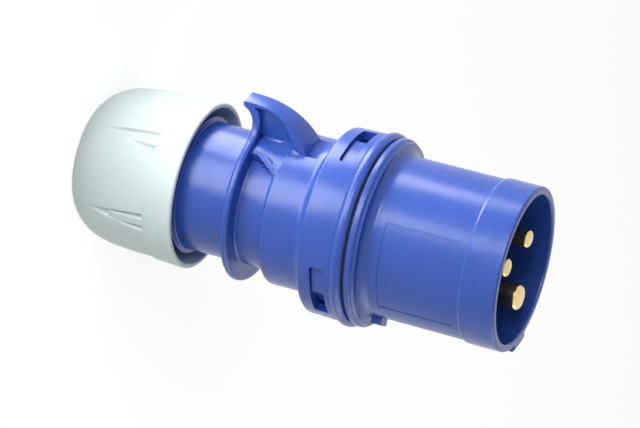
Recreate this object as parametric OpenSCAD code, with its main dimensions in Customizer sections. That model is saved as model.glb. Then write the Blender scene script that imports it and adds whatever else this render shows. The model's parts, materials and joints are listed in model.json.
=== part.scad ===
// Industrial pin and sleeve plug, 16 A, three pins, with a screwed cable gland.
// It stands on the rear face of its gland nut: the axis is +Z, the pins point up,
// and the hook of the rear housing points along -X ("12 o'clock").
// Profiles are lists of [radius, height] points that are spun round the axis.

/* [Shroud] */
// Overall length, from the rear face of the nut to the rim of the shroud
overall_l = 123; // [122:0.5:126]
// Outer radius of the band at the rim
band_r = 22; // [21.8:0.05:22.2]
// Length of the band at the rim
band_l = 9.8; // [8:0.1:12]
// Outer radius of the shroud behind the band
shroud_r = 21.45; // [21.2:0.05:21.7]
// Inner radius of the shroud
shroud_bore_r = 19.85; // [19.6:0.05:20]
// Free depth of the shroud, from its rim to the contact carrier
shroud_depth = 39; // [38:0.5:40]
// Height of the polarising key above the band
key_h = 2; // [1:0.1:2.5]
// Width of the polarising key
key_w = 7; // [5:0.5:9]

/* [Contacts] */
// Radius of the circle that the pins stand on
pin_circle_r = 8.9; // [8.8:0.05:9]
// Radius of the earth pin
earth_pin_r = 3.5; // [3.4:0.05:3.6]
// Radius of the line and neutral pins
power_pin_r = 2.5; // [2.4:0.05:2.6]
// Distance of the earth pin's tip behind the rim
earth_tip_drop = 0.3; // [0.1:0.1:3]
// Distance of the line and neutral pins' tips behind the rim
power_tip_drop = 1.6; // [0.5:0.1:4]

/* [Rear housing] */
// Outer radius of the bayonet collar at its front
collar_r = 25.35; // [25.2:0.05:25.6]
// Outer radius of the barrel behind the collar
barrel_r = 20.6; // [20.4:0.1:20.8]
// Outer radius of the tube between the finger disc and the nut
tube_r = 17.45; // [17.3:0.05:17.6]
// Radius of the finger disc
disc_r = 22.1; // [21.5:0.1:22.6]
// Half of the angle that each collar window spans
window_half_angle = 19.5; // [16:0.5:20]
// Height of the collar windows along the axis
window_h = 4; // [3:0.1:4.4]
// Distance of the hook's back from the axis
hook_r = 30.5; // [29.5:0.1:31]
// Width of the hook at its tip
hook_tip_w = 5.2; // [4.4:0.2:7]
// Width of the hook where it meets the barrel
hook_foot_w = 9.6; // [8.4:0.2:11]

/* [Gland nut] */
// Length of the gland nut
nut_l = 32.3; // [32:0.1:32.6]
// Outer radius of the nut's skirt at its rim
nut_rim_r = 22.75; // [22.5:0.05:23]
// Radius of the hole for the cable
cable_hole_r = 8.5; // [7:0.1:9]
// Number of grip recesses round the nut
grip_count = 6; // [6:1:6]
// Distance that the nut advances in one turn
thread_pitch = 3; // [2:0.5:4]

/* [Hidden] */
$fn = 96;

blue = "#2f55a8";
grey = "#c6d2d0";
black = "#26282c";
brass = "#c9a24a";
steel = "#b9bcc0";
ivory = "#d8d4c4";

// Heights along the axis, from the floor up.
rim_z = overall_l;
band_z = rim_z - band_l;
carrier_face_z = rim_z - shroud_depth;
ledge_z = carrier_face_z - 3;        // front of the carrier's flange
sleeve_z = 71.6;                     // rear end of the front housing's sleeve
ring_z = 83;                         // rear face of the front housing's ring
ring_front_z = 84.8;
cove_end_z = 88.6;                   // where the ring's cove meets the shroud
collar_front_z = 82.2;
collar_rear_z = 69.5;
bead_z = 80.6;                       // crest of the bead at the front of the collar
barrel_front_z = 66.3;
shoulder_z = 56.4;                   // rear shoulder of the barrel
disc_front_z = 48.4;
disc_rear_z = 46.2;
tail_z = 9;                          // rear end of the threaded tail
stop_ring_z = 30;                    // rear face of the small ring inside the nut's rim
window_z = 75.4;                     // middle height of the collar windows

// Radii that several pieces share.
sleeve_r = 22.4;
collar_bore_r = 22.75;
ring_r = 25.35;
barrel_bore_r = 18.3;
tube_bore_r = 15;
tail_r = 17.2;
tail_bore_r = 14.5;
seat_r = 20.3;                       // bore that the carrier's flange sits in
ledge_r = 19.2;
carrier_body_r = 17.4;
window_angles = [0, 107, 253];       // clock angles from the hook, towards -Y
earth_angle = 180;
line_angle = 60;
neutral_angle = 300;
terminal_z = 67;                     // height of the terminal screws
terminal_base_z = 62;                // wire end of the terminals
terminal_top_z = 79;
gap = 0.05;                          // play between pieces that seat in each other

// Points of an arc about c, from angle a0 to a1.
function arc(c, r, a0, a1, n = 6) =
    [for (i = [0:n]) let (a = a0 + (a1 - a0) * i / n) [c[0] + r * cos(a), c[1] + r * sin(a)]];

// Points of a cubic curve.
function curve(p0, p1, p2, p3, n = 16) =
    [for (i = [0:n]) let (t = i / n, u = 1 - t)
        u * u * u * p0 + 3 * u * u * t * p1 + 3 * u * t * t * p2 + t * t * t * p3];

// Outline of a rectangle with round corners, centred on the origin.
function round_rect(w, h, r) = concat(
    arc([w / 2 - r, h / 2 - r], r, 0, 90, 4), arc([r - w / 2, h / 2 - r], r, 90, 180, 4),
    arc([r - w / 2, r - h / 2], r, 180, 270, 4), arc([w / 2 - r, r - h / 2], r, 270, 360, 4));

// Places a child that lies along +X at a clock angle from the hook, towards -Y.
module at_clock(angle) {
    rotate([0, 0, 180 + angle]) children();
}

module spin(points) {
    rotate_extrude() polygon(points);
}

// A straight prism along the radius r0 to r1. Its outline has width along the rim and height along Z.
module radial_prism(angle, z, r0, r1, outline) {
    at_clock(angle) translate([r0, 0, z]) rotate([90, 0, 90])
        linear_extrude(r1 - r0) polygon(outline);
}

// A block of ring between two radii, two heights and two clock angles.
module ring_sector(r0, r1, z0, z1, a0, a1) {
    at_clock(a0) rotate_extrude(angle = a1 - a0)
        translate([r0, z0]) square([r1 - r0, z1 - z0]);
}

// ---- Front housing ---------------------------------------------------------------------------

function front_housing_profile() = concat(
    [[seat_r, sleeve_z], [sleeve_r - 0.4, sleeve_z], [sleeve_r, sleeve_z + 0.4], [sleeve_r, ring_z]],
    arc([ring_r - 0.3, ring_z + 0.3], 0.3, -90, 0, 3),
    arc([ring_r - 0.7, ring_front_z - 0.7], 0.7, 0, 80, 5),
    arc([24.5, cove_end_z], 3.05, 268, 180, 8),
    [[shroud_r, band_z - 0.7]],
    [[band_r, band_z + 0.3]],
    arc([band_r - 0.7, rim_z - 0.7], 0.7, 0, 90, 5),
    arc([shroud_bore_r + 0.5, rim_z - 0.5], 0.5, 90, 180, 4),
    [[shroud_bore_r, carrier_face_z], [ledge_r, carrier_face_z], [ledge_r, ledge_z], [seat_r, ledge_z]]);

// Bayonet lugs of the sleeve. They stand in the collar's windows and leave one end of each open.
module bayonet_lugs() {
    lug_r = 24.2;
    lug_h = window_h - 0.5;
    for (span = [[-5, 19], [88.5, 108.5], [251.5, 271.5]])
        ring_sector(sleeve_r - 0.6, lug_r, window_z - lug_h / 2, window_z + lug_h / 2, span[0], span[1]);
}

module polarising_key() {
    key_z = cove_end_z + 5;
    half_w = key_w / 2;
    intersection() {
        at_clock(earth_angle) translate([0, 0, key_z])
            linear_extrude(rim_z - key_z)
                polygon(concat([[band_r - 1.2, -half_w]],
                    arc([band_r + key_h - 0.8, 0.8 - half_w], 0.8, -90, 0, 4),
                    arc([band_r + key_h - 0.8, half_w - 0.8], 0.8, 0, 90, 4),
                    [[band_r - 1.2, half_w]]));
        spin([[band_r - 2, key_z - 1], [band_r - 1, key_z], [band_r + key_h + 1, key_z + 3],
            [band_r + key_h + 1, rim_z - 1.4], [band_r + key_h - 1, rim_z], [band_r - 2, rim_z]]);
    }
}

// Raised field on the side of the shroud, with a shallow recess for markings.
module marking_field() {
    field_r = shroud_r + 0.25;
    recess_r = shroud_r + 0.08;
    difference() {
        ring_sector(shroud_r - 0.6, field_r, cove_end_z + 0.2, band_z + 0.1, 3, 136);
        ring_sector(recess_r, field_r + 1, 90.6, 111.2, 48.5, 115.5);
    }
}

module front_housing() {
    color(blue) union() {
        spin(front_housing_profile());
        bayonet_lugs();
        polarising_key();
        marking_field();
        // Stop lug beside the ring
        ring_sector(shroud_r - 0.5, 23.6, 86.8, 89.7, 141, 153);
    }
}

// ---- Contact carrier and contacts ------------------------------------------------------------

module for_each_contact() {
    for (angle = [earth_angle, line_angle, neutral_angle])
        at_clock(angle) translate([pin_circle_r, 0, 0]) children();
}

function shank_r(angle) = angle == earth_angle ? earth_pin_r : power_pin_r;
function terminal_r(angle) = shank_r(angle) + 1.5;
function tip_z(angle) = rim_z - (angle == earth_angle ? earth_tip_drop : power_tip_drop);

carrier_rear_z = 60.5;
flange_r = seat_r - 0.15;
flange_z = 72.5;
screw_r = 2;                         // M4 terminal screws
screw_head_r = 3;
screw_head_h = 2.4;
screw_end_x = pin_circle_r + 1.1;
root_top_z = carrier_face_z - 0.4;   // the pins' thicker roots end just inside the carrier's face

// Distance from the axis to the inner face of a terminal screw's head.
function screw_head_x(angle) = pin_circle_r + terminal_r(angle) + 0.3;
function root_r(angle) = shank_r(angle) + 0.6;

module contact_carrier() {
    color(black) difference() {
        spin([[0, carrier_rear_z], [carrier_body_r - 0.6, carrier_rear_z],
            [carrier_body_r, carrier_rear_z + 0.6], [carrier_body_r, flange_z],
            [flange_r, flange_z], [flange_r, ledge_z - gap], [ledge_r - 0.15, ledge_z - gap],
            [ledge_r - 0.15, carrier_face_z - 0.4], [ledge_r - 0.55, carrier_face_z],
            [0, carrier_face_z]]);
        for (angle = [earth_angle, line_angle, neutral_angle]) at_clock(angle) {
            translate([pin_circle_r, 0, carrier_rear_z - 1])
                cylinder(r = terminal_r(angle) + gap, h = terminal_top_z + gap - carrier_rear_z + 1);
            translate([pin_circle_r, 0, terminal_top_z - 1])
                cylinder(r = root_r(angle) + gap, h = carrier_face_z - terminal_top_z + 2);
            translate([pin_circle_r + 1, 0, terminal_z]) rotate([0, 90, 0])
                cylinder(r = screw_head_r + 0.4, h = carrier_body_r);
        }
        // Threaded hole for the back plate's screw, in the middle
        translate([0, 0, carrier_rear_z - 1]) cylinder(r = 1.5 + gap, h = 10);
    }
}

// One contact: a turned pin with a round tip, and a thicker terminal with a hole for the wire.
module contact(angle) {
    r = shank_r(angle);
    barrel_r = terminal_r(angle);
    tip_round = 0.45 * r;
    color(brass) at_clock(angle) translate([pin_circle_r, 0, 0]) difference() {
        spin(concat([[0, terminal_base_z], [barrel_r - 0.4, terminal_base_z],
            [barrel_r, terminal_base_z + 0.4], [barrel_r, terminal_top_z - 0.4],
            [barrel_r - 0.4, terminal_top_z], [root_r(angle), terminal_top_z],
            [root_r(angle), root_top_z], [r, root_top_z]],
            arc([r - tip_round, tip_z(angle) - tip_round], tip_round, 0, 90, 7),
            [[0, tip_z(angle)]]));
        translate([0, 0, terminal_base_z - 1]) cylinder(r = r - 0.3, h = 12);
        translate([0, 0, terminal_z]) rotate([0, 90, 0]) cylinder(r = screw_r + gap, h = barrel_r + 1);
    }
}

module earth_pin() { contact(earth_angle); }
module line_pin() { contact(line_angle); }
module neutral_pin() { contact(neutral_angle); }

// Cheese-head screw with a slot, along the radius.
module terminal_screw(angle) {
    shank_l = screw_head_x(angle) - screw_end_x;
    color(steel) at_clock(angle) translate([screw_end_x, 0, terminal_z]) rotate([0, 90, 0])
        difference() {
            union() {
                cylinder(r = screw_r, h = shank_l + 0.1);
                translate([0, 0, shank_l]) cylinder(r = screw_head_r, h = screw_head_h);
            }
            translate([-screw_head_r - 1, -0.5, shank_l + screw_head_h - 1.1])
                cube([2 * screw_head_r + 2, 1, 2]);
        }
}

module earth_terminal_screw() { terminal_screw(earth_angle); }
module line_terminal_screw() { terminal_screw(line_angle); }
module neutral_terminal_screw() { terminal_screw(neutral_angle); }

// Leaf that keeps the screw from cutting the wire: a strip in the wire hole, with a foot below it.
module wire_guard(angle) {
    leaf_t = 0.5;
    leaf_w = 2.4;
    foot_l = 1.2;
    color(steel) at_clock(angle)
        translate([screw_end_x - leaf_t - gap, -leaf_w / 2, terminal_base_z - 0.5]) union() {
            cube([leaf_t, leaf_w, 9]);
            translate([-foot_l, 0, 0]) cube([foot_l + 0.1, leaf_w, leaf_t - 0.1]);
        }
}

module earth_wire_guard() { wire_guard(earth_angle); }
module line_wire_guard() { wire_guard(line_angle); }
module neutral_wire_guard() { wire_guard(neutral_angle); }

plate_h = 2;
plate_top_z = carrier_rear_z - gap;

// Plate behind the carrier, with a hole for each wire.
module carrier_back_plate() {
    color(black) difference() {
        translate([0, 0, plate_top_z - plate_h]) cylinder(r = tube_bore_r - 0.4, h = plate_h);
        for_each_contact() translate([0, 0, plate_top_z - plate_h - 1])
            cylinder(r = 2.9, h = plate_h + 2);
        translate([0, 0, plate_top_z - plate_h - 1]) cylinder(r = 1.6 + gap, h = plate_h + 2);
    }
}

module back_plate_screw() {
    head_h = 1.8;
    seat = plate_top_z - plate_h - gap;
    color(steel) difference() {
        union() {
            translate([0, 0, seat - head_h]) cylinder(r = 2.7, h = head_h);
            translate([0, 0, seat - 0.1]) cylinder(r = 1.5, h = 9);
        }
        translate([-3, -0.4, seat - head_h - 1]) cube([6, 0.8, 1.9]);
    }
}

// ---- Rear housing ----------------------------------------------------------------------------

module housing_seal() {
    r0 = sleeve_r + 0.25;
    r1 = ring_r - 0.8;
    z0 = collar_front_z;
    z1 = ring_z;
    color(black) spin([[r0, z0], [r1 - 0.2, z0], [r1, z0 + 0.2], [r1, z1 - 0.2], [r1 - 0.2, z1], [r0, z1]]);
}

function rear_outer_profile() = concat(
    [[tail_bore_r, tail_z], [tail_r - 0.7, tail_z], [tail_r, tail_z + 0.7], [tail_r, stop_ring_z],
        [18.9, stop_ring_z], [18.9, stop_ring_z + 0.9], [18.7, stop_ring_z + 1.1],
        [tube_r, stop_ring_z + 1.1]],
    arc([tube_r + 1, disc_rear_z - 1], 1, 180, 90, 4),
    arc([disc_r - 0.9, disc_rear_z + 0.9], 0.9, -90, 0, 4),
    arc([disc_r - 0.9, disc_front_z - 0.9], 0.9, 0, 90, 4),
    arc([tube_r + 0.6, disc_front_z + 0.6], 0.6, 270, 180, 3),
    arc([tube_r + 0.8, shoulder_z - 0.8], 0.8, 180, 90, 3),
    arc([barrel_r - 1.3, shoulder_z + 1.3], 1.3, -90, 0, 5),
    arc([barrel_r + 3.2, barrel_front_z], 3.2, 180, 90, 7),
    arc([collar_r - 1.15, collar_rear_z + 0.9], 0.9, -90, 0, 4),
    [[collar_r, bead_z - 2.2]],
    arc([collar_r - 1, bead_z], 1.8, -50, 62, 8));

function rear_inner_profile() = [
    [collar_bore_r, collar_front_z], [collar_bore_r, 71.2], [barrel_bore_r, 71.2],
    [barrel_bore_r, 59.5], [tube_bore_r, 57], [tube_bore_r, 35], [10.5, 32.5], [10.5, 28],
    [tail_bore_r, 28]];

bridge_half_w = 8.15;                // half width of the bridge where it meets the disc
bridge_flare_r = 6.6;                // the flare runs out where the shoulder's rounding ends

// Part of the barrel that runs back to the disc under the hook and closes the finger groove there.
module barrel_bridge() {
    top_z = shoulder_z + 1.3;
    flare_z = top_z - bridge_flare_r;
    w = bridge_half_w;
    outline = concat(
        [[-w, disc_front_z - 1]],
        arc([-w - bridge_flare_r, flare_z], bridge_flare_r, 0, 90, 8),
        arc([w + bridge_flare_r, flare_z], bridge_flare_r, 90, 180, 8),
        [[w, disc_front_z - 1]]);
    intersection() {
        spin([[tube_bore_r + 0.5, disc_front_z - 1], [barrel_r, disc_front_z - 1],
            [barrel_r, top_z + 1], [tube_bore_r + 0.5, top_z + 1]]);
        radial_prism(0, 0, 8, barrel_r + 1, outline);
    }
}

// Outlines of the hook seen from the side, as [distance from the axis, height].
hook_tip_z = 43.6;
hook_foot_z = 62.8;
hook_web_t = 2;
hook_root_r = 19.2;                  // the hook is rooted inside the barrel's wall
hook_lip = 1.4;                      // thickness of the tip

function hook_back() = curve([hook_r, hook_tip_z], [hook_r + 0.4, 51.5], [hook_r - 1.9, 58.3],
    [hook_root_r + 0.6, hook_foot_z]);

// Rear side of the wall that carries on the disc and curls back into the tip.
function hook_throat() = curve([hook_r - 6, disc_rear_z], [hook_r - 3.5, disc_rear_z + 0.1],
    [hook_r - 2.2, disc_rear_z - 1], [hook_r - hook_lip, hook_tip_z + 0.1], 7);

// Pocket between that wall and the curved back, from the barrel out and round to the foot.
function hook_pocket() = concat(
    curve([hook_r - 5, disc_front_z], [hook_r - 3.1, disc_front_z - 0.1],
        [hook_r - 1.9, disc_front_z - 0.6], [hook_r - 1.3, 46.6], 5),
    curve([hook_r - 1.25, 47], [hook_r - 0.3, 52.5], [hook_r - 2.7, 56.4], [hook_root_r + 0.8, 58.4], 12));

// Runs an outline across the hook, from side to side.
module across_hook(width, outline) {
    at_clock(0) translate([0, width / 2, 0]) rotate([90, 0, 0]) linear_extrude(width) polygon(outline);
}

// What the hook's width leaves of a shape: narrow as far as the middle, then widening to the foot.
module hook_width() {
    tip = hook_tip_w / 2;
    foot = hook_foot_w / 2;
    flare = curve([tip, 50], [tip + 0.1, 55.5], [foot - 1.2, 59.5], [foot, hook_foot_z], 6);
    side = concat([[tip, hook_tip_z - 1]], flare, [[foot, hook_foot_z + 1]]);
    n = len(side);
    radial_prism(0, 0, hook_root_r - 3, hook_r + 2,
        concat(side, [for (i = [n - 1:-1:0]) [-side[i][0], side[i][1]]]));
}

module hook() {
    back = hook_back();
    throat = hook_throat();
    pocket = hook_pocket();
    n = len(pocket);
    intersection() {
        across_hook(hook_foot_w + 2, concat(
            [[hook_root_r, disc_rear_z]], throat, back, [[hook_root_r, hook_foot_z]],
            [[hook_root_r, 58.5]], [for (i = [n - 1:-1:0]) pocket[i]], [[hook_root_r, disc_front_z]]));
        hook_width();
    }
    // Web in the middle
    across_hook(hook_web_t, concat(
        [[hook_root_r, disc_rear_z + 0.4]], [for (p = throat) p + [0, 0.6]],
        [for (p = back) p - [0.6, 0.3]], [[hook_root_r, hook_foot_z - 0.6]]));
    // Fillets between the wall and the rim of the disc
    half_w = hook_tip_w / 2;
    for (side = [-1, 1])
        translate([0, 0, disc_rear_z + 0.1]) linear_extrude(disc_front_z - disc_rear_z - 0.2)
            polygon(concat([[-hook_root_r, 0], [-hook_root_r, side * (half_w + 4.7)]],
                curve([-20.7, side * (half_w + 4.7)], [-21.7, side * (half_w + 1.7)],
                    [-23.4, side * half_w], [-26.3, side * half_w], 8),
                [[-26.3, 0]]));
}

module rear_housing() {
    window_w = 2 * collar_r * sin(window_half_angle);
    color(blue) difference() {
        union() {
            spin(concat(rear_outer_profile(), rear_inner_profile()));
            barrel_bridge();
            hook();
        }
        for (angle = window_angles)
            radial_prism(angle, window_z, collar_bore_r - 2, collar_r + 2,
                round_rect(window_w, window_h, 0.8));
    }
}

// ---- Cable gland -----------------------------------------------------------------------------

// Rubber grommet that closes round the cable.
module gland_seal() {
    cable_r = 6.5;
    color(black) spin([[cable_r, 20.2], [cable_r + 1, 19.6], [tail_bore_r - 1.6, 19.6],
        [tail_bore_r - gap, 21.5], [tail_bore_r - gap, 28 - gap], [cable_r + 0.6, 28 - gap],
        [cable_r, 27.4]]);
}

// Ring of fingers that the nut squeezes onto the cable.
module clamp_cage() {
    finger_count = 8;
    slot_w = 1.8;
    cage_z = tail_z + 0.3;
    color(ivory) difference() {
        spin([[9.6, cage_z], [12.6, cage_z], [tail_bore_r - gap, cage_z + 2.6],
            [tail_bore_r - gap, 19.5], [9.6, 19.5]]);
        for (i = [0:finger_count / 2 - 1]) rotate([0, 0, (i + 0.5) * 360 / finger_count])
            translate([-tail_bore_r - 1, -slot_w / 2, cage_z - 1])
                cube([2 * tail_bore_r + 2, slot_w, 7.5]);
    }
}

slip_ring_z = 6;

// Loose ring between the turning nut and the clamp cage, which keeps the cage from twisting.
module slip_ring() {
    color(ivory) spin([[9.4, slip_ring_z], [14.6, slip_ring_z], [14.6, 8.9], [13.2, 8.9],
        [11.6, 7.6], [9.4, 7.6]]);
}

skirt_z = nut_l - 8.3;               // rear edge of the skirt
crown_r = 22.15;                     // radius of the crown where it meets the skirt
grip_point_z = 6.6;
grip_angle = 35;                     // clock angle of the first grip recess

function nut_outer_profile() = concat(
    [[0, 0]],
    arc([15.6, 1.3], 1.3, -90, -52, 3),
    curve([16.4, 0.3], [22.55, 5.1], [crown_r, 14], [crown_r, skirt_z - 0.2], 14),
    [[crown_r + 0.25, skirt_z + 0.1], [nut_rim_r, nut_l - 1.2]],
    arc([nut_rim_r - 0.7, nut_l - 0.7], 0.7, 0, 90, 4),
    [[0, nut_l]]);

// Floor of the grip recesses: a plainer cone under the crowned outside of the nut.
function grip_floor_profile() = concat([[0, 0], [17, 1.6], [19.4, grip_point_z - 1.2]],
    curve([20, grip_point_z - 0.2], [20.4, 10], [20.8, 15.5], [20.95, skirt_z + 0.35], 8),
    [[20.95, skirt_z + 1.2], [0, skirt_z + 1.2]]);

// Cutter of a pointed grip recess, narrow at the rear and widest at the skirt.
module grip_recess(angle) {
    half_w = 2.85;
    difference() {
        radial_prism(angle, 0, 14, nut_rim_r, concat(
            arc([0, grip_point_z + 0.5], 0.5, 200, 340, 4),
            [[half_w, skirt_z], [-half_w, skirt_z]]));
        spin(grip_floor_profile());
    }
}

// Raised pad in the middle of the recess's wide end.
module grip_pad(angle) {
    ring_sector(19.2, crown_r - 0.7, grip_point_z + 7, skirt_z + 0.5, angle - 2.6, angle + 2.6);
}

// Cutter that flattens the crown between two grip recesses. It leaves a wall of a wider curve.
module flank(angle) {
    flank_r = 28;
    depth = 0.65;
    at_clock(angle) translate([0, 0, 1]) linear_extrude(skirt_z - 1.05)
        polygon(concat(arc([crown_r - depth - flank_r, 0], flank_r, -26, 26, 8), [[25, 13], [25, -13]]));
}

module gland_nut() {
    seat = slip_ring_z - gap;
    step = 360 / grip_count;
    color(grey) difference() {
        union() {
            difference() {
                spin(nut_outer_profile());
                for (i = [0:grip_count - 1]) flank(grip_angle + (i + 0.5) * step);
                for (i = [0:grip_count - 1]) grip_recess(grip_angle + i * step);
            }
            for (i = [0:grip_count - 1]) grip_pad(grip_angle + i * step);
        }
        // Inside, from the cable hole to the flared skirt
        spin([[0, -1], [cable_hole_r, -1], [cable_hole_r, 3.4], [cable_hole_r + 1, 4.4],
            [cable_hole_r + 1, seat], [15, seat], [15, 8.7], [tail_r + 0.4, 8.7], [tail_r + 0.4, 12],
            [18.6, 12], [18.6, 25], [20.5, 26.5], [21, 30], [21.5, nut_l + 1], [0, nut_l + 1]]);
    }
}

front_housing();
contact_carrier();
carrier_back_plate();
back_plate_screw();
earth_pin();
line_pin();
neutral_pin();
earth_terminal_screw();
line_terminal_screw();
neutral_terminal_screw();
earth_wire_guard();
line_wire_guard();
neutral_wire_guard();
housing_seal();
rear_housing();
gland_seal();
clamp_cage();
slip_ring();
gland_nut();
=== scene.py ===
"""Looks of an industrial pin and sleeve plug: moulded blue housings, a grey gland nut and brass pins."""

import json
import math

import bmesh
import bpy
from mathutils import Matrix, Vector


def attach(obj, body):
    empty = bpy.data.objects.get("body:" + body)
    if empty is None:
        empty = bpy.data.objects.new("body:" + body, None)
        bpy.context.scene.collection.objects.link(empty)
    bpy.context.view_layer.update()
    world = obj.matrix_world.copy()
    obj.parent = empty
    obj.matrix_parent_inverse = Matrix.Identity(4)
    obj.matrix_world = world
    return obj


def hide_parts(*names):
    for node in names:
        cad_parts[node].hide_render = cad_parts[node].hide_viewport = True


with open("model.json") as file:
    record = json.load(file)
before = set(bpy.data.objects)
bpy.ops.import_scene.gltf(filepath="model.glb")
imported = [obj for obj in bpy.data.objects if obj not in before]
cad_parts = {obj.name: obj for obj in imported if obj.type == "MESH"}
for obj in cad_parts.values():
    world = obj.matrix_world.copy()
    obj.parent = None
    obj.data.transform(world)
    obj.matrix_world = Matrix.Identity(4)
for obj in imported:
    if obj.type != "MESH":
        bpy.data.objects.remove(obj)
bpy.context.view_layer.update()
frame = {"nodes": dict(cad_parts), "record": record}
nodes = frame["nodes"]
scene = bpy.context.scene

MM = 0.001


# ---- Materials ---------------------------------------------------------------------------------


def node_group(name, inputs, outputs):
    """An empty shader group with (name, default) inputs and (name, type) outputs."""
    group = bpy.data.node_groups.new(name, "ShaderNodeTree")
    for label, default in inputs:
        kind = "NodeSocketColor" if isinstance(default, tuple) else "NodeSocketFloat"
        socket = group.interface.new_socket(label, in_out="INPUT", socket_type=kind)
        socket.default_value = default
    for label, kind in outputs:
        group.interface.new_socket(label, in_out="OUTPUT", socket_type=kind)
    return group, group.nodes.new("NodeGroupInput"), group.nodes.new("NodeGroupOutput")


def add(tree, kind, **values):
    """A node of a tree with some of its settings or sockets set."""
    node = tree.nodes.new(kind)
    for key, value in values.items():
        if hasattr(node, key):
            setattr(node, key, value)
        else:
            node.inputs[key.replace("_", " ")].default_value = value
    return node


def moulded_surface():
    """Group for moulded plastic: slow colour drift, fine spark-eroded grain and faint handling marks."""
    group, given, out = node_group(
        "moulded surface",
        [("Color", (0.1, 0.1, 0.1, 1)), ("Drift", 0.08), ("Grain", 0.3), ("Gloss", 0.35)],
        [("Color", "NodeSocketColor"), ("Roughness", "NodeSocketFloat"), ("Height", "NodeSocketFloat")],
    )
    link = group.links.new
    place = add(group, "ShaderNodeTexCoord").outputs["Object"]

    flow = add(group, "ShaderNodeTexNoise", Scale=55.0, Detail=3.0, Roughness=0.55)
    link(place, flow.inputs["Vector"])
    drift = add(group, "ShaderNodeMapRange", From_Min=0.3, From_Max=0.7, To_Min=-1.0, To_Max=1.0)
    link(flow.outputs["Fac"], drift.inputs["Value"])
    amount = add(group, "ShaderNodeMath", operation="MULTIPLY")
    link(drift.outputs["Result"], amount.inputs[0])
    link(given.outputs["Drift"], amount.inputs[1])
    value = add(group, "ShaderNodeMath", operation="ADD")
    link(amount.outputs["Value"], value.inputs[0])
    value.inputs[1].default_value = 1.0
    tinted = add(group, "ShaderNodeHueSaturation")
    link(given.outputs["Color"], tinted.inputs["Color"])
    link(value.outputs["Value"], tinted.inputs["Value"])
    link(tinted.outputs["Color"], out.inputs["Color"])

    grain = add(group, "ShaderNodeTexNoise", Scale=2600.0, Detail=2.0, Roughness=0.6)
    link(place, grain.inputs["Vector"])
    ripple = add(group, "ShaderNodeTexNoise", Scale=140.0, Detail=2.0, Roughness=0.5)
    link(place, ripple.inputs["Vector"])
    fine = add(group, "ShaderNodeMath", operation="MULTIPLY")
    link(grain.outputs["Fac"], fine.inputs[0])
    link(given.outputs["Grain"], fine.inputs[1])
    height = add(group, "ShaderNodeMath", operation="ADD")
    link(fine.outputs["Value"], height.inputs[0])
    link(ripple.outputs["Fac"], height.inputs[1])
    link(height.outputs["Value"], out.inputs["Height"])

    marks = add(group, "ShaderNodeTexNoise", Scale=210.0, Detail=5.0, Roughness=0.65)
    link(place, marks.inputs["Vector"])
    dull = add(group, "ShaderNodeMapRange", From_Min=0.35, From_Max=0.75, To_Min=-0.03, To_Max=0.06)
    link(marks.outputs["Fac"], dull.inputs["Value"])
    rough = add(group, "ShaderNodeMath", operation="ADD")
    link(dull.outputs["Result"], rough.inputs[0])
    link(given.outputs["Gloss"], rough.inputs[1])
    link(rough.outputs["Value"], out.inputs["Roughness"])
    return group


MOULDED = moulded_surface()


def plastic(name, color, roughness, drift=0.06, grain=0.3, bump=0.06, subsurface=0.0):
    """Moulded plastic in one colour."""
    material = bpy.data.materials.new(name)
    material.use_nodes = True
    tree = material.node_tree
    shader = tree.nodes["Principled BSDF"]
    surface = add(tree, "ShaderNodeGroup", node_tree=MOULDED)
    surface.inputs["Color"].default_value = (*color, 1)
    surface.inputs["Drift"].default_value = drift
    surface.inputs["Grain"].default_value = grain
    surface.inputs["Gloss"].default_value = roughness
    relief = add(tree, "ShaderNodeBump", Strength=bump, Distance=0.0001)
    tree.links.new(surface.outputs["Height"], relief.inputs["Height"])
    tree.links.new(surface.outputs["Color"], shader.inputs["Base Color"])
    tree.links.new(surface.outputs["Roughness"], shader.inputs["Roughness"])
    tree.links.new(relief.outputs["Normal"], shader.inputs["Normal"])
    if subsurface:
        shader.inputs["Subsurface Weight"].default_value = subsurface
        shader.inputs["Subsurface Radius"].default_value = (0.4, 0.5, 1.0)
        shader.inputs["Subsurface Scale"].default_value = 0.0008
    return material


def metal(name, color, roughness, line_scale=900.0):
    """Turned metal: fine rings round the part's own length and faint tarnish."""
    material = bpy.data.materials.new(name)
    material.use_nodes = True
    tree = material.node_tree
    link = tree.links.new
    shader = tree.nodes["Principled BSDF"]
    shader.inputs["Metallic"].default_value = 1.0
    place = add(tree, "ShaderNodeTexCoord").outputs["Object"]
    stretch = add(tree, "ShaderNodeMapping")
    stretch.inputs["Scale"].default_value = (0.05, 0.05, 1.0)
    link(place, stretch.inputs["Vector"])
    rings = add(tree, "ShaderNodeTexNoise", Scale=line_scale * 4, Detail=2.0)
    link(stretch.outputs["Vector"], rings.inputs["Vector"])
    tarnish = add(tree, "ShaderNodeTexNoise", Scale=180.0, Detail=4.0)
    link(place, tarnish.inputs["Vector"])
    shade = add(tree, "ShaderNodeMix", data_type="RGBA")
    shade.inputs["A"].default_value = (*color, 1)
    shade.inputs["B"].default_value = (*[c * 0.82 for c in color], 1)
    mask = add(tree, "ShaderNodeMapRange", From_Min=0.45, From_Max=0.75)
    link(tarnish.outputs["Fac"], mask.inputs["Value"])
    link(mask.outputs["Result"], shade.inputs["Factor"])
    link(shade.outputs["Result"], shader.inputs["Base Color"])
    rough = add(tree, "ShaderNodeMapRange", From_Min=0.3, From_Max=0.7)
    rough.inputs["To Min"].default_value = roughness - 0.05
    rough.inputs["To Max"].default_value = roughness + 0.08
    link(rings.outputs["Fac"], rough.inputs["Value"])
    link(rough.outputs["Result"], shader.inputs["Roughness"])
    relief = add(tree, "ShaderNodeBump", Strength=0.05, Distance=0.00005)
    link(rings.outputs["Fac"], relief.inputs["Height"])
    link(relief.outputs["Normal"], shader.inputs["Normal"])
    return material


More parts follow.
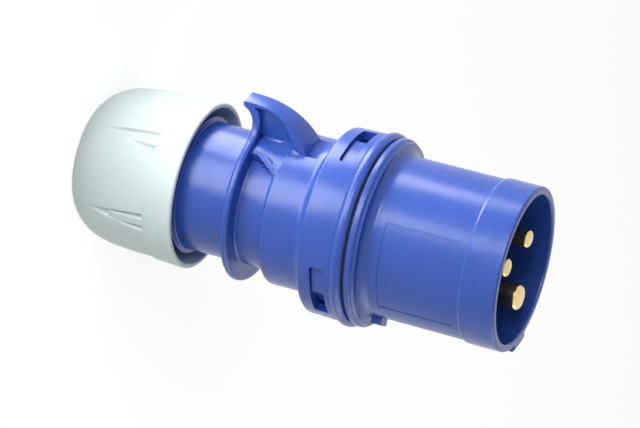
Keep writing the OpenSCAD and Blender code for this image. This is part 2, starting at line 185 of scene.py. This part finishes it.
blue_polyamide = plastic("blue polyamide", (0.022, 0.07, 0.36), 0.27)
grey_polyamide = plastic("grey polyamide", (0.58, 0.67, 0.66), 0.5, drift=0.03)
black_insert = plastic("black insert", (0.02, 0.02, 0.023), 0.45)
natural_polyamide = plastic("natural polyamide", (0.66, 0.63, 0.54), 0.45)
seal_rubber = plastic("seal rubber", (0.014, 0.014, 0.016), 0.7, grain=0.8, bump=0.15)
turned_brass = metal("turned brass", (0.80, 0.60, 0.28), 0.2)
zinc_steel = metal("zinc plated steel", (0.60, 0.61, 0.63), 0.32)

FINISH = {
    "housing_blue": blue_polyamide,
    "nut_grey": grey_polyamide,
    "insert_black": black_insert,
    "contact_brass": turned_brass,
    "screw_steel": zinc_steel,
    "guard_steel": zinc_steel,
    "seal_rubber": seal_rubber,
    "clamp_plastic": natural_polyamide,
}


def dress_cad_nodes():
    """Gives every CAD node the material of its slot."""
    for part in frame["record"]["subparts"]:
        mesh = nodes[part["node"]].data
        mesh.materials.clear()
        mesh.materials.append(FINISH[part["material_slot"]])


# ---- Shapes ------------------------------------------------------------------------------------


def rounded(corners, steps=4):
    """Profile of [radius, height] points in mm from (radius, height, rounding) corners of a closed outline."""
    points = []
    for i, (x, z, size) in enumerate(corners):
        here = Vector((x, z))
        if not size:
            points.append(here)
            continue
        before = Vector(corners[i - 1][:2]) - here
        after = Vector(corners[(i + 1) % len(corners)][:2]) - here
        half = before.angle(after) / 2
        reach = size / math.tan(half)
        centre = here + (before.normalized() + after.normalized()).normalized() * (size / math.sin(half))
        first = here + before.normalized() * reach - centre
        turn = first.angle_signed(here + after.normalized() * reach - centre)
        for k in range(steps + 1):
            a = -turn * k / steps
            points.append(centre + Vector((first.x * math.cos(a) - first.y * math.sin(a),
                                           first.x * math.sin(a) + first.y * math.cos(a))))
    return [(p.x, p.y) for p in points]


def curve(p0, p1, p2, p3, steps):
    """Points of a cubic curve, both ends included."""
    ends = [Vector(p) for p in (p0, p1, p2, p3)]
    points = []
    for k in range(steps + 1):
        t = k / steps
        u = 1 - t
        p = ends[0] * u**3 + ends[1] * 3 * u * u * t + ends[2] * 3 * u * t * t + ends[3] * t**3
        points.append((p.x, p.y))
    return points


def arc(centre, radius, start, end, steps):
    """Points of an arc, with its angles in degrees."""
    angles = [math.radians(start + (end - start) * k / steps) for k in range(steps + 1)]
    return [(centre[0] + radius * math.cos(a), centre[1] + radius * math.sin(a)) for a in angles]


def turned(profile, steps=224):
    """A ring turned about the plug's axis from a closed profile in mm."""
    bm = bmesh.new()
    verts = [bm.verts.new((r * MM, 0, z * MM)) for r, z in profile]
    edges = [bm.edges.new((a, b)) for a, b in zip(verts, verts[1:] + verts[:1])]
    bmesh.ops.spin(
        bm, geom=verts + edges, cent=(0, 0, 0), axis=(0, 0, 1), dvec=(0, 0, 0),
        angle=2 * math.pi, steps=steps, use_merge=True,
    )
    bmesh.ops.remove_doubles(bm, verts=bm.verts, dist=1e-6)
    bmesh.ops.recalc_face_normals(bm, faces=bm.faces)
    return bm


def slab(outline, width, rounding=0.0, plane="XZ"):
    """A plate with an outline in mm, centred across its width, with its rim edges rounded."""
    bm = bmesh.new()
    place = {
        "XZ": lambda a, b: (-a * MM, -width / 2 * MM, b * MM),
        "XY": lambda a, b: (a * MM, b * MM, 0),
        "YZ": lambda a, b: (0, a * MM, b * MM),
    }[plane]
    face = bm.faces.new([bm.verts.new(place(a, b)) for a, b in outline])
    grown = bmesh.ops.extrude_face_region(bm, geom=[face])
    along = {"XZ": (0, width * MM, 0), "XY": (0, 0, width * MM), "YZ": (width * MM, 0, 0)}[plane]
    new = [g for g in grown["geom"] if isinstance(g, bmesh.types.BMVert)]
    bmesh.ops.translate(bm, verts=new, vec=along)
    bmesh.ops.recalc_face_normals(bm, faces=bm.faces)
    if rounding:
        sharp = [e for e in bm.edges if e.calc_face_angle(0) > math.radians(35)]
        bmesh.ops.bevel(bm, geom=sharp, offset=rounding * MM, segments=3, profile=0.5,
                        affect="EDGES", material=-1, clamp_overlap=True)
    return bm


def mesh_of(bm, name="work"):
    mesh = bpy.data.meshes.new(name)
    bm.to_mesh(mesh)
    bm.free()
    return mesh


def combined(base, tool, operation):
    """The bmesh of two closed shapes joined, or of the base with the tool cut from it."""
    objects = [bpy.data.objects.new("work", mesh_of(bm)) for bm in (base, tool)]
    for obj in objects:
        scene.collection.objects.link(obj)
    solver = objects[0].modifiers.new("solid", "BOOLEAN")
    solver.object = objects[1]
    solver.operation = operation
    solver.solver = "EXACT"
    solver.use_self = operation == "UNION"
    result = objects[0].evaluated_get(bpy.context.evaluated_depsgraph_get()).to_mesh()
    bm = bmesh.new()
    bm.from_mesh(result)
    for obj in objects:
        mesh = obj.data
        bpy.data.objects.remove(obj)
        bpy.data.meshes.remove(mesh)
    return bm


def gathered(shapes):
    """One bmesh that holds several shapes side by side."""
    whole = bmesh.new()
    for bm in shapes:
        mesh = mesh_of(bm)
        whole.from_mesh(mesh)
        bpy.data.meshes.remove(mesh)
    return whole


def at_clock(bm, angle):
    """Turns a shape that lies along +X to a clock angle from the hook, towards -Y."""
    bmesh.ops.rotate(bm, verts=bm.verts, cent=(0, 0, 0),
                     matrix=Matrix.Rotation(math.radians(180 + angle), 3, "Z"))
    return bm


def piece(name, bm, body, material, replaces=(), smooth=32):
    """A finished piece from a bmesh in the plug's own frame."""
    mesh = mesh_of(bm, name)
    mesh.materials.append(material)
    mesh.polygons.foreach_set("use_smooth", [True] * len(mesh.polygons))
    mesh.set_sharp_from_angle(angle=math.radians(smooth))
    obj = bpy.data.objects.new(name, mesh)
    scene.collection.objects.link(obj)
    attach(obj, body)
    if replaces:
        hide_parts(*replaces)
    return obj


def edge_rounding(obj, width, segments=2, angle=35):
    """Rounds the sharp edges that the joints and cuts of a piece leave."""
    bevel = obj.modifiers.new("edges", "BEVEL")
    bevel.width = width * MM
    bevel.segments = segments
    bevel.limit_method = "ANGLE"
    bevel.angle_limit = math.radians(angle)
    bevel.use_clamp_overlap = False
    bevel.miter_outer = "MITER_ARC"


# ---- Gland nut ---------------------------------------------------------------------------------

NUT_LENGTH = 32.3
SKIRT_Z = 24.0
GRIP_POINT_Z = 6.6
GRIP_COUNT = 6
FIRST_GRIP = 35
THREAD_PITCH = 3.0


def smooth(low, high, value):
    """0 below low, 1 above high, and an S-curve between."""
    t = min(max((value - low) / (high - low), 0.0), 1.0)
    return t * t * (3 - 2 * t)


def nut_profile():
    """Closed outline of the nut without its grips, from the rear face round to the bore."""
    crown = arc((15.6, 1.3), 1.3, -90, -52, 6)
    crown += curve(crown[-1], (22.55, 5.1), (22.15, 14.0), (22.15, SKIRT_Z - 0.35), 46)[1:]
    skirt = [(22.15, SKIRT_Z - 0.2), (22.3, SKIRT_Z - 0.08), (22.38, SKIRT_Z + 0.08), (22.75, NUT_LENGTH - 1.0)]
    rim = arc((22.05, NUT_LENGTH - 0.7), 0.7, 0, 90, 6) + arc((21.75, NUT_LENGTH - 0.35), 0.35, 90, 180, 4)
    bore = [(21.0, 30.0), (20.5, 26.6), (18.6, 25.0), (18.6, 12.0), (17.6, 11.4), (17.6, 8.7), (15.0, 8.7),
            (15.0, 5.95), (9.5, 5.95), (9.5, 4.4), (8.5, 3.4), (8.5, 0.4), (8.9, 0.0)]
    return crown + skirt + rim + bore


def carve_grips(bm):
    """Sinks the six pointed grips into the crown, each with a raised pad, and hollows the panels between."""
    first = math.radians(180 + FIRST_GRIP)
    spacing = 2 * math.pi / GRIP_COUNT
    for v in bm.verts:
        z = v.co.z / MM
        r = math.hypot(v.co.x, v.co.y) / MM
        if not 0.3 < z < SKIRT_Z - 0.2 or r < 16.0:
            continue
        angle = math.atan2(v.co.y, v.co.x) - first
        across = (angle + spacing / 2) % spacing - spacing / 2
        reach = (z - GRIP_POINT_Z) / (SKIRT_Z - GRIP_POINT_Z)
        ridge = math.cos(across * GRIP_COUNT / 2) ** 2
        sink = 0.68 * smooth(4.5, 14.0, z) * (1 - ridge) ** 0.8
        if reach > 0:
            side = across * 22.0 + 0.7 * (1 - reach)
            half = 2.95 * reach**0.8
            depth = 1.1 * smooth(0.0, 0.5, reach)
            edge = min(0.45 if side < 0 else 0.75, half * 0.8)
            inside = 1 - smooth(half - edge, half, abs(side))
            pad = smooth(13.2, 14.4, z) * (1 - smooth(1.05, 1.5, abs(across * 22.0)))
            sink = max(sink, depth * inside * (1 - 0.8 * pad))
        scale = 1 - sink / r
        v.co.x *= scale
        v.co.y *= scale


def inner_thread(radius, start, turns, height, inwards):
    """A closed helical ridge on a wall of a radius, with its crest to one side of the wall."""
    bm = bmesh.new()
    crest = radius - height if inwards else radius + height
    root = radius + 0.3 if inwards else radius - 0.3
    outline = [(root, -1.15), (crest, -0.3), (crest, 0.3), (root, 1.15)]
    verts = [bm.verts.new((r * MM, 0, (start + dz) * MM)) for r, dz in outline]
    edges = [bm.edges.new((a, b)) for a, b in zip(verts, verts[1:] + verts[:1])]
    steps = round(72 * turns)
    bmesh.ops.spin(
        bm, geom=verts + edges, cent=(0, 0, 0), axis=(0, 0, 1), angle=2 * math.pi * turns,
        dvec=(0, 0, THREAD_PITCH * turns / steps * MM), steps=steps, use_merge=False,
    )
    bmesh.ops.holes_fill(bm, edges=[e for e in bm.edges if e.is_boundary], sides=4)
    bmesh.ops.recalc_face_normals(bm, faces=bm.faces)
    return bm


def make_gland_nut():
    bm = turned(nut_profile(), steps=720)
    carve_grips(bm)
    nut = piece("grip_nut", bm, "nut", grey_polyamide, replaces=["gland_nut"], smooth=50)
    piece("nut_thread", inner_thread(18.6, 13.0, 3.6, 1.0, True), "nut", grey_polyamide)
    piece("tail_thread", inner_thread(17.2, 14.5, 3.1, 1.0, False), "plug", blue_polyamide)
    return nut


# ---- Rear housing ------------------------------------------------------------------------------

COLLAR_R = 25.35
BARREL_R = 20.6
TUBE_R = 17.45
DISC_R = 22.1
DISC_REAR_Z = 46.2
DISC_FRONT_Z = 48.4
SHOULDER_Z = 56.4
WINDOW_Z = 75.4
WINDOWS = (0, 107, 253)


def rear_profile():
    """Closed outline of the rear housing: tail, ring, tube, finger disc, barrel and bayonet collar."""
    outside = rounded([
        (14.5, 9, 0.3), (17.2, 9, 0.7), (17.2, 30, 0.0), (18.9, 30, 0.2), (18.9, 31.1, 0.35), (TUBE_R, 31.1, 0.4),
        (TUBE_R, DISC_REAR_Z, 1.0), (DISC_R, DISC_REAR_Z, 1.0), (DISC_R, DISC_FRONT_Z, 1.0),
        (TUBE_R, DISC_FRONT_Z, 0.6), (TUBE_R, SHOULDER_Z, 0.8), (BARREL_R, SHOULDER_Z, 1.3),
        (BARREL_R, 69.5, 3.2), (25.1, 69.5, 0.9), (COLLAR_R, 78.9, 0.5), (22.75, 84, 0.0),
    ], steps=7)[:-1]
    bead = arc((24.35, 80.6), 1.8, -40, 62, 12)
    inside = [(22.9, 82.2), (22.75, 82.05), (22.75, 71.2), (18.3, 71.2), (18.3, 59.5), (15, 57), (15, 35),
              (10.5, 32.5), (10.5, 28), (14.5, 28)]
    return outside + bead + inside


def bent_round(bm, radius):
    """Bends a plate that lies across +X round the axis, so that its width follows the circle of a radius."""
    for v in bm.verts:
        distance, across = v.co.x, v.co.y / (radius * MM)
        v.co.x = distance * math.cos(across)
        v.co.y = distance * math.sin(across)


def bridge():
    """The part of the barrel that runs back to the disc under the hook, with its flares into the shoulder."""
    w, flare = 8.15, 6.6
    top = SHOULDER_Z + 1.7
    outline = [(-w, DISC_FRONT_Z - 0.6)]
    outline += arc((-w - flare, SHOULDER_Z - flare), flare, 0, 84, 14) + [(-w - flare, top), (w + flare, top)]
    outline += arc((w + flare, SHOULDER_Z - flare), flare, 96, 180, 14) + [(w, DISC_FRONT_Z - 0.6)]
    bm = slab(outline, BARREL_R - 0.02 - 15.6, plane="YZ")
    bmesh.ops.translate(bm, verts=bm.verts, vec=(15.6 * MM, 0, 0))
    rim = [e for e in bm.edges if all(v.co.x > (BARREL_R - 0.1) * MM for v in e.verts)
           and min(v.co.z for v in e.verts) < (top - 0.1) * MM]
    bmesh.ops.bevel(bm, geom=rim, offset=1.2 * MM, segments=5, profile=0.5, affect="EDGES", material=-1,
                    clamp_overlap=True)
    flat = [e for e in bm.edges if abs(e.verts[0].co.y - e.verts[1].co.y) > 3 * MM]
    bmesh.ops.subdivide_edges(bm, edges=flat, cuts=17, use_grid_fill=True)
    bent_round(bm, BARREL_R)
    return at_clock(bm, 0)


def hook():
    """The finger hook: a curved back on a wall that carries on the disc, with a web between its pockets."""
    back = curve((30.5, 43.6), (30.9, 51.5), (28.6, 58.3), (19.8, 62.8), 26)
    throat = curve((24.5, DISC_REAR_Z), (27.0, 46.3), (28.3, 45.2), (29.1, 43.7), 12)
    pocket = curve((25.5, DISC_FRONT_Z), (27.4, 48.3), (28.6, 47.8), (29.2, 46.6), 8)
    pocket += curve((29.25, 47.0), (30.2, 52.5), (27.8, 56.4), (20.0, 58.4), 22)
    rim = slab([(19.2, DISC_REAR_Z)] + throat + back + [(19.2, 62.8), (19.2, 58.5)] + pocket[::-1]
               + [(19.2, DISC_FRONT_Z)], 10.0, rounding=0.42)
    web = slab([(19.2, DISC_REAR_Z + 0.4)] + [(r, z + 0.6) for r, z in throat]
               + [(r - 0.6, z - 0.3) for r, z in back] + [(19.2, 62.0)], 2.0)
    widths = curve((5.2, 48.0), (5.3, 55.5), (7.2, 59.5), (9.6, 62.8), 40)
    for v in rim.verts:
        z = v.co.z / MM
        wide = next((w for w, at in widths if at >= z), 9.6)
        v.co.y *= wide / 10.0
    half = 2.6
    fillets = []
    for side in (-1, 1):
        run = curve((-20.7, side * (half + 4.7)), (-21.7, side * (half + 1.7)), (-23.4, side * half),
                    (-26.3, side * half), 12)
        block = slab([(-19.2, 0), (-19.2, side * (half + 4.7))] + run + [(-26.3, 0)],
                     DISC_FRONT_Z - DISC_REAR_Z - 0.04, plane="XY")
        bmesh.ops.translate(block, verts=block.verts, vec=(0, 0, (DISC_REAR_Z + 0.02) * MM))
        edge = [e for e in block.edges if e.calc_face_angle(0) > math.radians(60)
                and all(v.co.x < -20.6 * MM and side * v.co.y > 2.5 * MM for v in e.verts)]
        bmesh.ops.bevel(block, geom=edge, offset=0.8 * MM, segments=4, profile=0.5, affect="EDGES",
                        material=-1, clamp_overlap=True)
        fillets.append(block)
    whole = combined(rim, web, "UNION")
    for block in fillets:
        whole = combined(whole, block, "UNION")
    return whole


def window_cutters():
    """Round-cornered cutters for the windows of the bayonet collar."""
    half_w, half_h = COLLAR_R * math.sin(math.radians(19.5)), 2.0
    outline = rounded([(-half_w, -half_h, 0.8), (half_w, -half_h, 0.8), (half_w, half_h, 0.8),
                       (-half_w, half_h, 0.8)], steps=6)
    cutters = []
    for angle in WINDOWS:
        bm = slab([(y, z + WINDOW_Z) for y, z in outline], 6.5, plane="YZ")
        bmesh.ops.translate(bm, verts=bm.verts, vec=(20.8 * MM, 0, 0))
        cutters.append(at_clock(bm, angle))
    return gathered(cutters)


def make_rear_housing():
    bm = combined(turned(rear_profile()), bridge(), "UNION")
    bm = combined(bm, hook(), "UNION")
    bm = combined(bm, window_cutters(), "DIFFERENCE")
    shell = piece("rear_shell", bm, "plug", blue_polyamide, replaces=["rear_housing"])
    return shell


# ---- Stage -------------------------------------------------------------------------------------

CAMERA_AZIMUTH = math.radians(-34.2)
CAMERA_ELEVATION = math.radians(19.44)
CAMERA_ROLL = math.radians(104.8)
CAMERA_DISTANCE = 0.8104
CAMERA_LENS = 173.25


def camera_axes():
    """Directions of the picture's right, its top, and back towards the camera."""
    a, e, roll = CAMERA_AZIMUTH, CAMERA_ELEVATION, CAMERA_ROLL
    back = Vector((math.sin(a) * math.cos(e), -math.cos(a) * math.cos(e), math.sin(e)))
    level = Vector((0, 0, 1)).cross(back).normalized()
    up = back.cross(level)
    right = level * math.cos(roll) + up * math.sin(roll)
    top = up * math.cos(roll) - level * math.sin(roll)
    return right, top, back, level


def place_camera():
    right, top, back, level = camera_axes()
    data = bpy.data.cameras.new("camera")
    data.lens = CAMERA_LENS
    data.sensor_width = 36
    camera = bpy.data.objects.new("camera", data)
    scene.collection.objects.link(camera)
    target = level * -0.476 * MM + Vector((0, 0, 65.07 * MM))
    camera.location = target + back * CAMERA_DISTANCE
    turn = camera.matrix_world.to_3x3()
    turn.col[0], turn.col[1], turn.col[2] = right, top, back
    camera.rotation_euler = turn.to_euler()
    scene.camera = camera


def softbox(name, direction, distance, size, power, color=(1, 1, 1)):
    """A square area light that looks at the middle of the plug."""
    data = bpy.data.lights.new(name, "AREA")
    data.size = size
    data.energy = power
    data.color = color
    lamp = bpy.data.objects.new(name, data)
    scene.collection.objects.link(lamp)
    middle = Vector((0, 0, 0.062))
    lamp.location = middle + direction.normalized() * distance
    lamp.rotation_euler = direction.to_track_quat("Z", "Y").to_euler()


def seen_directly(tree):
    """1 for what the camera sees, itself or in a mirror or through glass, and 0 for light on the object."""
    path = add(tree, "ShaderNodeLightPath")
    seen = path.outputs["Is Camera Ray"]
    for ray in ("Is Glossy Ray", "Is Transmission Ray"):
        either = add(tree, "ShaderNodeMath", operation="MAXIMUM")
        tree.links.new(seen, either.inputs[0])
        tree.links.new(path.outputs[ray], either.inputs[1])
        seen = either.outputs["Value"]
    return seen


def around(angle, aside=0.0):
    """Direction at an angle from the camera's side towards the picture's top, leaning aside to its right."""
    right, top, back, level = camera_axes()
    a = math.radians(angle)
    return back * math.cos(a) + top * math.sin(a) + right * aside


def floor_strip(name, clock, near, far, width, radiance):
    """A light panel that lies on the floor and points at the plug from a clock angle from the hook."""
    data = bpy.data.lights.new(name, "AREA")
    data.shape = "RECTANGLE"
    data.size = far - near
    data.size_y = width
    data.energy = radiance * math.pi * data.size * data.size_y
    lamp = bpy.data.objects.new(name, data)
    scene.collection.objects.link(lamp)
    a = math.radians(180 + clock)
    reach = (near + far) / 2
    lamp.location = (reach * math.cos(a), reach * math.sin(a), 1 * MM)
    lamp.rotation_euler = (math.pi, 0, a)
    lamp.visible_camera = False


def light_studio():
    softbox("top softbox", around(84, -0.1), 1.0, 0.5, 12.0)
    softbox("front softbox", around(25, -0.2), 1.1, 0.6, 9.0)
    softbox("low fill", around(-100, 0.1), 1.0, 0.8, 3.0)
    floor_strip("side strip", 55.8 - 82, 0.07, 0.45, 0.09, 8.0)
    floor_strip("near strip", 55.8 - 20, 0.07, 0.45, 0.09, 6.0)
    world = bpy.data.worlds.new("studio")
    scene.world = world
    world.use_nodes = True
    tree = world.node_tree
    tree.nodes.clear()
    link = tree.links.new
    tent = add(tree, "ShaderNodeBackground", Strength=0.35)
    backdrop = add(tree, "ShaderNodeBackground", Strength=1.0)
    for light in (tent, backdrop):
        light.inputs["Color"].default_value = (1, 1, 1, 1)
    mix = add(tree, "ShaderNodeMixShader")
    link(seen_directly(tree), mix.inputs["Fac"])
    link(tent.outputs["Background"], mix.inputs[1])
    link(backdrop.outputs["Background"], mix.inputs[2])
    out = add(tree, "ShaderNodeOutputWorld")
    link(mix.outputs["Shader"], out.inputs["Surface"])


def pale_floor():
    """Matt white card, lifted to the backdrop's white where nothing shades it."""
    material = bpy.data.materials.new("pale floor")
    material.use_nodes = True
    tree = material.node_tree
    tree.nodes.clear()
    card = add(tree, "ShaderNodeBsdfDiffuse", Color=(0.82, 0.82, 0.82, 1))
    glow = add(tree, "ShaderNodeEmission", Color=(1, 1, 1, 1))
    lift = add(tree, "ShaderNodeMath", operation="MULTIPLY")
    tree.links.new(seen_directly(tree), lift.inputs[0])
    lift.inputs[1].default_value = 0.6
    tree.links.new(lift.outputs["Value"], glow.inputs["Strength"])
    both = add(tree, "ShaderNodeAddShader")
    tree.links.new(card.outputs["BSDF"], both.inputs[0])
    tree.links.new(glow.outputs["Emission"], both.inputs[1])
    out = add(tree, "ShaderNodeOutputMaterial")
    tree.links.new(both.outputs["Shader"], out.inputs["Surface"])
    return material


def lay_floor():
    """Floor that the plug stands on."""
    bm = bmesh.new()
    bmesh.ops.create_grid(bm, x_segments=1, y_segments=1, size=6.0)
    bmesh.ops.translate(bm, verts=bm.verts, vec=(0, 0, -0.1 * MM))
    mesh = bpy.data.meshes.new("floor")
    bm.to_mesh(mesh)
    bm.free()
    mesh.materials.append(pale_floor())
    floor = bpy.data.objects.new("floor", mesh)
    scene.collection.objects.link(floor)


# ---- Assembly ----------------------------------------------------------------------------------

scene.view_settings.view_transform = "Standard"
dress_cad_nodes()
make_gland_nut()
make_rear_housing()
place_camera()
light_studio()
lay_floor()
